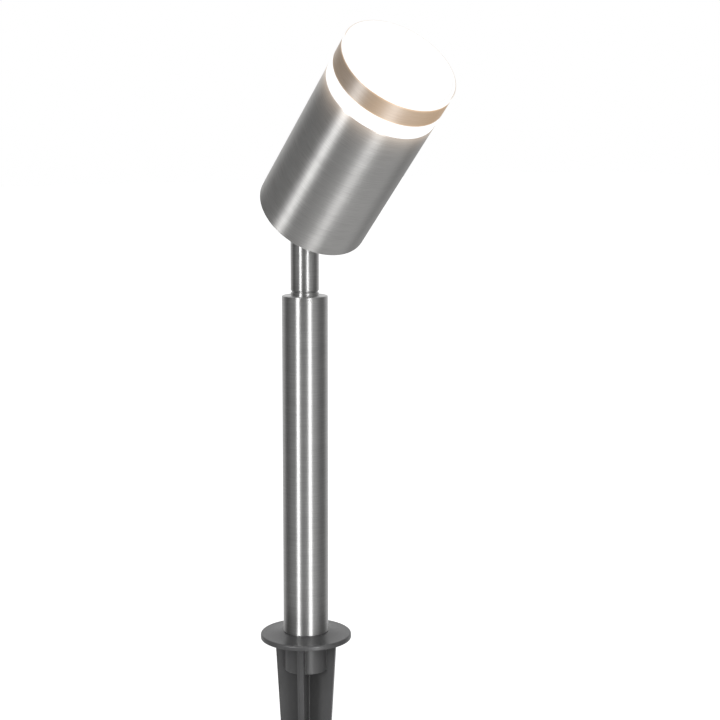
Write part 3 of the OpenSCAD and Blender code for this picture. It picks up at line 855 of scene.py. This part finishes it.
class SPOTLIGHT_OT_insides(Operator):
    """Finish the seals, leads, driver and light unit inside the head and the pole"""
    bl_idname = "spotlight.insides"
    bl_label = "Insides"

    # Material name, colour, roughness and grain per millimetre of each slot
    finishes = {
        "seal_rubber": ("seal rubber", (0.03, 0.03, 0.03), 0.55, 2.5),
        "lead_jacket": ("lead jacket", (0.035, 0.035, 0.04), 0.5, 1.5),
        "nylon": ("natural nylon", (0.75, 0.73, 0.66), 0.5, 1.2),
        "circuit_board": ("green circuit board", (0.02, 0.13, 0.05), 0.35, 0.8),
        "terminal_plastic": ("terminal plastic", (0.72, 0.72, 0.68), 0.45, 2.0),
        "capacitor_sleeve": ("capacitor sleeve", (0.03, 0.035, 0.06), 0.3, 1.0),
        "chip_resin": ("chip resin", (0.025, 0.025, 0.025), 0.5, 4.0),
        "light_board": ("white light board", (0.85, 0.85, 0.82), 0.4, 0.8),
    }

    def execute(self, context):
        made = {slot: plastic(*finish)[0] for slot, finish in self.finishes.items()}
        material, shader = new_material("enamelled copper, choke", Metallic=1.0, Roughness=0.3)
        turns = noise(material, scaled((0.8, 0.8, 0.8)), detail=2.0)
        shade(material, shader, (0.72, 0.36, 0.17), turns, depth=0.15)
        made["choke_copper"] = material
        material, shader = new_material("cast aluminium", Metallic=1.0, Roughness=0.45)
        grain = noise(material, scaled((1.2, 1.2, 1.2)), detail=4.0)
        shade(material, shader, (0.62, 0.63, 0.64), grain, depth=0.08)
        bump(material, shader, grain, distance=0.05 * MM, strength=0.5)
        made["cast_aluminium"] = material
        material, shader = new_material("lit phosphor", Roughness=0.35,
                                        Emission_Color=(1.0, 0.9, 0.7, 1.0),
                                        Emission_Strength=1.0)
        grain = noise(material, scaled((3.0, 3.0, 3.0)), detail=2.0)
        shade(material, shader, (0.95, 0.75, 0.2), grain, depth=0.05)
        made["led_phosphor"] = material
        for node, slot in SLOTS.items():
            if slot in made:
                dress_nodes(made[slot], node)
                frame["nodes"][node].data.shade_smooth()
        return {"FINISHED"}


class SPOTLIGHT_OT_stage(Operator):
    """Set up the floor, the studio lights and the camera"""
    bl_idname = "spotlight.stage"
    bl_label = "Studio"

    floor_size = 8.0            # half the floor's width
    floor_gap = 0.5 * MM        # under the spike's tip
    floor_tone = 0.85
    floor_glow = 0.6            # share of white that the floor adds where it is seen

    # Brightness of the grey cards at bearings to the right of the camera's line, in degrees:
    # round the set, low down where only the leaning head reflects them, and overhead
    cards = ((-180, 0.97), (-130, 0.43), (-112, 0.09), (-97, 0.10), (-80, 0.18), (-65, 0.28),
             (-52, 0.11), (-25, 0.105), (6, 0.22), (38, 0.45), (50, 0.57), (62, 0.40), (80, 0.18),
             (97, 0.15), (112, 0.16), (130, 0.49), (180, 0.97))
    low_cards = ((-180, 1.20), (-120, 0.94), (-80, 0.59), (-40, 0.52), (0, 0.46), (40, 0.21),
                 (80, 0.21), (120, 0.85), (180, 1.20))
    high_cards = ((-180, 0.97), (-130, 0.65), (-112, 0.22), (-95, 0.06), (-55, 0.22), (-25, 2.1),
                  (60, 2.4), (90, 0.17), (112, 0.30), (130, 0.60), (180, 0.97))
    brightest = 2.5
    # Elevations in degrees between which the low cards give way to those round the set, and
    # those to the cards overhead
    middle_rise = (-47.5, -32.5)
    high_rise = (52.5, 57.5)
    cards_distance = 1.3        # as a share of the strip lights' distance
    # Bearing, elevation, width and height of each strip light in degrees, and its brightness
    strips = ((-36, 13.5, 8.5, 15, 34.0), (24, -6, 14, 20, 12.5))

    def execute(self, context):
        studio = context.scene.spotlight.studio
        self.make_camera(context, studio)
        self.make_floor()
        self.make_cards(studio)
        for strip in self.strips:
            self.make_strip(studio, *strip)
        self.make_world(context, studio)
        context.scene.view_settings.view_transform = "Standard"
        return {"FINISHED"}

    def make_camera(self, context, studio):
        """The camera, aimed by its heading, pitch and roll."""
        pitch, heading, roll = studio.pitch, studio.heading, studio.roll
        forward = Vector((math.cos(heading) * math.cos(pitch),
                          math.sin(heading) * math.cos(pitch), math.sin(pitch)))
        right = Vector((math.sin(heading), -math.cos(heading), 0))
        up = right.cross(forward)
        across = math.cos(roll) * right + math.sin(roll) * up
        upward = math.cos(roll) * up - math.sin(roll) * right
        data = bpy.data.cameras.new("camera")
        data.sensor_width = 36.0
        data.lens = studio.focal_length
        data.clip_start = 0.01
        data.clip_end = 100.0
        camera = bpy.data.objects.new("camera", data)
        context.scene.collection.objects.link(camera)
        camera.matrix_world = Matrix((across, upward, -forward)).transposed().to_4x4()
        camera.location = studio.camera_place
        context.scene.camera = camera

    def bearing_of_camera(self, studio):
        """Bearing of the camera from the object, which the studio's bearings start at."""
        return math.atan2(studio.camera_place[1], studio.camera_place[0])

    def make_floor(self):
        """A pale floor that shows white and casts no shadow on the object."""
        bm = bmesh.new()
        bmesh.ops.create_grid(bm, x_segments=1, y_segments=1, size=self.floor_size)
        floor = link("floor", bm, Matrix.Translation((0, 0, CAD_LOW.z - self.floor_gap)))
        material, shader = new_material("pale floor", Base_Color=(*[self.floor_tone] * 3, 1.0),
                                        Roughness=0.9, Emission_Color=(*WHITE, 1.0))
        strength = add_node(material, "ShaderNodeMath",
                            {0: seen_directly(material), 1: self.floor_glow},
                            operation="MULTIPLY")
        material.node_tree.links.new(strength.outputs[0], shader.inputs["Emission Strength"])
        dress(floor, material)
        floor.visible_glossy = False
        floor.visible_shadow = False

    def tones(self, stops):
        """Ramp marks from pairs of bearing and brightness."""
        return [((degrees + 180) / 360, (value / self.brightest,) * 3)
                for degrees, value in stops]

    def make_cards(self, studio):
        """Grey cards all round the set, which only the steel reflects."""
        radius = studio.strip_distance * self.cards_distance
        bm = bmesh.new()
        bmesh.ops.create_uvsphere(bm, u_segments=72, v_segments=36, radius=radius)
        place = Matrix.Rotation(self.bearing_of_camera(studio), 4, "Z")
        place.translation = (0, 0, studio.strip_height)
        cards = link("reflection_cards", bm, place)
        material = bpy.data.materials.new("grey cards")
        material.use_nodes = True
        material.node_tree.nodes.clear()
        point = add_node(material, "ShaderNodeTexCoord").outputs["Object"]
        parts = add_node(material, "ShaderNodeSeparateXYZ", {"Vector": point})
        bearing = add_node(material, "ShaderNodeMath",
                           {0: parts.outputs["Y"], 1: parts.outputs["X"]}, operation="ARCTAN2")
        share = add_node(material, "ShaderNodeMapRange",
                         {"Value": bearing.outputs[0], "From Min": -math.pi, "From Max": math.pi,
                          "To Min": 0.0, "To Max": 1.0}).outputs["Result"]
        colour = ramp(material, share, self.tones(self.low_cards))
        for stops, (below, above) in ((self.cards, self.middle_rise),
                                      (self.high_cards, self.high_rise)):
            rise = add_node(material, "ShaderNodeMapRange",
                            {"Value": parts.outputs["Z"],
                             "From Min": radius * math.sin(math.radians(below)),
                             "From Max": radius * math.sin(math.radians(above)),
                             "To Min": 0.0, "To Max": 1.0}).outputs["Result"]
            mixed = add_node(material, "ShaderNodeMix", data_type="RGBA")
            inputs = [socket for socket in mixed.inputs if socket.type == "RGBA"]
            material.node_tree.links.new(rise, mixed.inputs[0])
            material.node_tree.links.new(colour, inputs[0])
            material.node_tree.links.new(ramp(material, share, self.tones(stops)), inputs[1])
            colour = [out for out in mixed.outputs if out.type == "RGBA"][0]
        glow = add_node(material, "ShaderNodeEmission",
                        {"Color": colour, "Strength": self.brightest})
        output = add_node(material, "ShaderNodeOutputMaterial")
        material.node_tree.links.new(glow.outputs["Emission"], output.inputs["Surface"])
        dress(cards, material)
        cards.visible_camera = False
        cards.visible_diffuse = False
        cards.visible_transmission = False
        cards.visible_shadow = False

    def make_strip(self, studio, degrees, elevation, width, height, brightness):
        """A strip light that faces the object."""
        distance = studio.strip_distance
        data = bpy.data.lights.new("strip", "AREA")
        data.shape = "RECTANGLE"
        data.size = 2 * distance * math.tan(math.radians(width / 2))
        data.size_y = 2 * distance * math.tan(math.radians(height / 2))
        data.energy = studio.strip_strength * brightness * math.pi * data.size * data.size_y
        strip = bpy.data.objects.new("strip", data)
        bpy.context.scene.collection.objects.link(strip)
        bearing = self.bearing_of_camera(studio) + math.radians(degrees)
        rise = math.radians(elevation)
        out = Vector((math.cos(bearing) * math.cos(rise), math.sin(bearing) * math.cos(rise),
                      math.sin(rise)))
        strip.matrix_world = out.to_track_quat("Z", "Y").to_matrix().to_4x4()
        strip.location = out * distance + Vector((0, 0, studio.strip_height))
        strip.visible_camera = False

    def make_world(self, context, studio):
        """White behind everything, and a softer light on the object."""
        world = bpy.data.worlds.new("studio")
        world.use_nodes = True
        context.scene.world = world
        world.node_tree.nodes.clear()
        strength = add_node(world, "ShaderNodeMapRange",
                            {"Value": seen_directly(world), "To Min": studio.daylight,
                             "To Max": 1.0})
        background = add_node(world, "ShaderNodeBackground",
                              {"Color": (*WHITE, 1.0),
                               "Strength": strength.outputs["Result"]})
        output = add_node(world, "ShaderNodeOutputWorld")
        world.node_tree.links.new(background.outputs["Background"], output.inputs["Surface"])


class SPOTLIGHT_PT_panel(Panel):
    """Lists the spotlight's pieces and settings"""
    bl_idname = "SPOTLIGHT_PT_panel"
    bl_label = "Garden Spotlight"
    bl_space_type = "VIEW_3D"
    bl_region_type = "UI"
    bl_category = "Spotlight"

    def draw(self, context):
        settings = context.scene.spotlight
        for operator in OPERATORS:
            self.layout.operator(operator.bl_idname)
        for name in ("steel", "glow", "plastic", "shape", "studio"):
            group = getattr(settings, name)
            box = self.layout.box()
            box.label(text=name.capitalize())
            for key in group.__annotations__:
                box.prop(group, key)


OPERATORS = (SPOTLIGHT_OT_head_tube, SPOTLIGHT_OT_trim_ring, SPOTLIGHT_OT_opal,
             SPOTLIGHT_OT_pole, SPOTLIGHT_OT_hinge, SPOTLIGHT_OT_fasteners, SPOTLIGHT_OT_spike,
             SPOTLIGHT_OT_insides, SPOTLIGHT_OT_stage)
CLASSES = (SpotlightSteel, SpotlightGlow, SpotlightPlastic, SpotlightShape, SpotlightStudio,
           SpotlightSettings, *OPERATORS, SPOTLIGHT_PT_panel)


def register():
    for cls in CLASSES:
        bpy.utils.register_class(cls)
    bpy.types.Scene.spotlight = PointerProperty(type=SpotlightSettings)


def unregister():
    del bpy.types.Scene.spotlight
    for cls in reversed(CLASSES):
        bpy.utils.unregister_class(cls)


def main():
    """Builds the pieces and the stage."""
    register()
    for operator in OPERATORS:
        group, name = operator.bl_idname.split(".")
        getattr(getattr(bpy.ops, group), name)()


if __name__ == "__main__":
    main()
